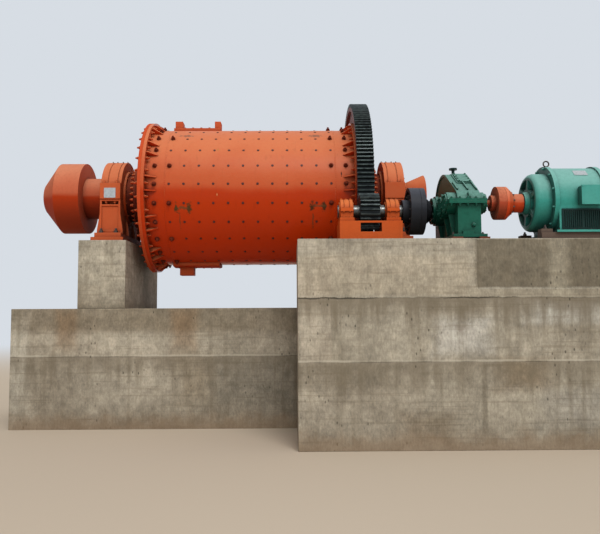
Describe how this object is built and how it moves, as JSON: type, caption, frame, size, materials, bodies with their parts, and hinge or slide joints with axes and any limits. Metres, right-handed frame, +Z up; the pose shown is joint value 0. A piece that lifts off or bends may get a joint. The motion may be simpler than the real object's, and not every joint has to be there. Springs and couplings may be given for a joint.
{
  "type": "ball mill",
  "caption": "Ball mill: bolted drum on two trunnion bearings, drum feeder, discharge trumpet, girth gear and pinion, reducer and motor on a stepped concrete foundation.",
  "frame": {"origin": "on the underside of the foundation, straight under the middle of the drum on the mill axis", "axes": "+X along the mill axis towards the girth gear and discharge end, +Y away from the drive side, +Z up"},
  "size_m": [9.7305, 4.9446, 5.644],
  "materials": {
    "concrete": "cast concrete, stained",
    "mill_paint": "brushed enamel paint",
    "drive_paint": "fresh enamel paint",
    "gear_steel": "greased cast steel",
    "shaft_steel": "turned steel",
    "coupling_black": "black primer",
    "reducer_green": "enamel paint",
    "motor_green": "enamel paint",
    "frame_steel": "primed steel section"
  },
  "bodies": {
    "foundation": {"plinth": "concrete", "feed_pier": "concrete", "drive_block": "concrete", "discharge_pier": "concrete", "feed_bearing_base": "mill_paint", "feed_bearing_cap": "mill_paint", "discharge_bearing_base": "mill_paint", "discharge_bearing_cap": "mill_paint", "pinion_base": "drive_paint", "pinion_housing_near": "drive_paint", "pinion_housing_far": "drive_paint", "reducer_base": "frame_steel", "reducer_lower_case": "reducer_green", "reducer_upper_case": "reducer_green", "inspection_cover": "reducer_green", "breather": "reducer_green", "output_bearing_caps": "reducer_green", "input_bearing_caps": "reducer_green", "motor_rails": "frame_steel", "motor_frame": "motor_green", "motor_drive_shield": "motor_green", "motor_rear_shield": "motor_green", "terminal_box": "motor_green", "motor_grilles": "motor_green", "lifting_eye": "motor_green"},
    "mill": {"drum_shell": "mill_paint", "feed_head": "mill_paint", "discharge_head": "mill_paint", "feed_trunnion": "mill_paint", "discharge_trunnion": "mill_paint", "feed_flange_ribs": "mill_paint", "drive_flange_ribs": "mill_paint", "girth_gear": "gear_steel", "gear_ribs": "mill_paint", "manhole_top": "mill_paint", "manhole_bottom": "mill_paint", "feeder_drum": "mill_paint", "discharge_trumpet": "mill_paint"},
    "pinion_line": {"pinion": "gear_steel", "pinion_shaft": "shaft_steel", "coupling_pinion_half": "coupling_black", "coupling_reducer_half": "coupling_black"},
    "motor_line": {"motor_coupling_reducer_half": "mill_paint", "motor_coupling_motor_half": "mill_paint"}
  },
  "joints": [
    {"name": "mill_turn", "type": "hinge", "parent": "foundation", "child": "mill", "pos_m": [0, 0, 3.95], "axis": [1, 0, 0], "continuous": true},
    {"name": "pinion_turn", "type": "hinge", "parent": "foundation", "child": "pinion_line", "pos_m": [1.889, -1.86061, 3.415], "axis": [1, 0, 0], "continuous": true},
    {"name": "motor_turn", "type": "hinge", "parent": "foundation", "child": "motor_line", "pos_m": [3.8, -2.61061, 3.415], "axis": [1, 0, 0], "continuous": true}
  ],
  "couplings": [
    {"joint": "pinion_turn", "follows": "mill_turn", "ratio": -6.3333},
    {"joint": "motor_turn", "follows": "mill_turn", "ratio": -35.467}
  ]
}
